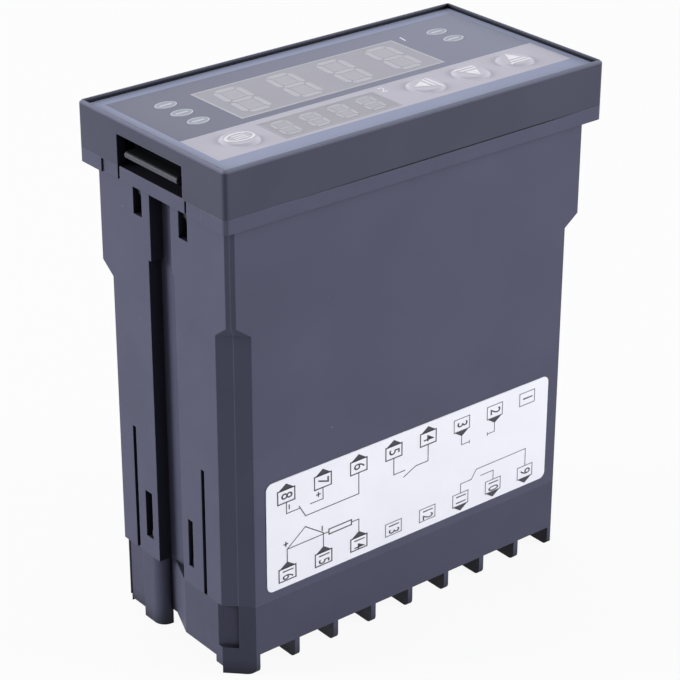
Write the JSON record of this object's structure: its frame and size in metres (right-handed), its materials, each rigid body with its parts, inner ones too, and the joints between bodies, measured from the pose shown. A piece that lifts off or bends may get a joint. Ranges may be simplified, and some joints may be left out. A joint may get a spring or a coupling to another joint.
{
  "type": "pid temperature controller",
  "caption": "Panel-mount temperature controller: rectangular bezel with two digital display windows, round keys and oval lamps, deep housing with side bracket channels and rear screw terminals",
  "frame": {"origin": "middle of the rectangle the rear barriers stand on", "axes": "+Z leaves the front face, +X runs along the long side of the front, +Y along its short side, away from the wiring label"},
  "size_m": [0.096, 0.048, 0.1127],
  "materials": {
    "housing": "fine matte texture",
    "bezel": "fine matte texture",
    "label_paper": "printed paper",
    "film": "printed film",
    "window": "tinted clear",
    "display": "satin",
    "lamp": "frosted",
    "key": "soft",
    "switch_black": "matte",
    "board": "solder mask",
    "steel": "plated",
    "brass": "plated",
    "core": "laminated",
    "coil": "taped",
    "sleeve": "shrunk sleeve",
    "relay": "moulded"
  },
  "bodies": {
    "case": {"case_shell": "housing", "terminal_block": "housing", "wiring_label": "label_paper", "clamp_washers": "steel", "terminal_contact_01": "brass", "terminal_contact_02": "brass", "terminal_contact_03": "brass", "terminal_contact_04": "brass", "terminal_contact_05": "brass", "terminal_contact_06": "brass", "terminal_contact_07": "brass", "terminal_contact_08": "brass", "terminal_contact_09": "brass", "terminal_contact_10": "brass", "terminal_contact_11": "brass", "terminal_contact_12": "brass", "terminal_contact_13": "brass", "terminal_contact_14": "brass", "terminal_contact_15": "brass", "terminal_contact_16": "brass"},
    "chassis": {"front_frame": "bezel", "front_film": "film", "pv_filter": "window", "sv_filter": "window", "pv_display": "display", "sv_display": "display", "lamp_out_1": "lamp", "lamp_out_2": "lamp", "lamp_tune": "lamp", "lamp_alarm_1": "lamp", "lamp_alarm_2": "lamp", "display_board": "board", "key_switch_1": "switch_black", "key_switch_2": "switch_black", "key_switch_3": "switch_black", "key_switch_4": "switch_black", "power_board": "board", "control_board": "board", "header_power": "switch_black", "header_control": "switch_black", "transformer_core": "core", "transformer_coil": "coil", "main_capacitor": "sleeve", "output_relay": "relay", "alarm_relay": "relay", "processor_chip": "switch_black"},
    "key_set": {"key_set": "key"},
    "key_shift": {"key_shift": "key"},
    "key_down": {"key_down": "key"},
    "key_up": {"key_up": "key"},
    "latch_left": {"latch_left": "bezel"},
    "latch_right": {"latch_right": "bezel"}
  },
  "joints": [
    {"name": "chassis_slide", "type": "slide", "parent": "case", "child": "chassis", "axis": [0, 0, 1], "range_m": [0, 0.09]},
    {"name": "key_set_press", "type": "slide", "parent": "chassis", "child": "key_set", "axis": [0, 0, -1], "range_m": [0, 0.0004], "stiffness_N_per_m": 1000},
    {"name": "key_shift_press", "type": "slide", "parent": "chassis", "child": "key_shift", "axis": [0, 0, -1], "range_m": [0, 0.0004], "stiffness_N_per_m": 1000},
    {"name": "key_down_press", "type": "slide", "parent": "chassis", "child": "key_down", "axis": [0, 0, -1], "range_m": [0, 0.0004], "stiffness_N_per_m": 1000},
    {"name": "key_up_press", "type": "slide", "parent": "chassis", "child": "key_up", "axis": [0, 0, -1], "range_m": [0, 0.0004], "stiffness_N_per_m": 1000},
    {"name": "latch_left_pivot", "type": "hinge", "parent": "chassis", "child": "latch_left", "pos_m": [-0.042, 0, 0.0907], "axis": [0, 1, 0], "range_deg": [0, 8.5], "stiffness_Nm_per_rad": 0.05},
    {"name": "latch_right_pivot", "type": "hinge", "parent": "chassis", "child": "latch_right", "pos_m": [0.042, 0, 0.0907], "axis": [0, -1, 0], "range_deg": [0, 8.5], "stiffness_Nm_per_rad": 0.05}
  ]
}
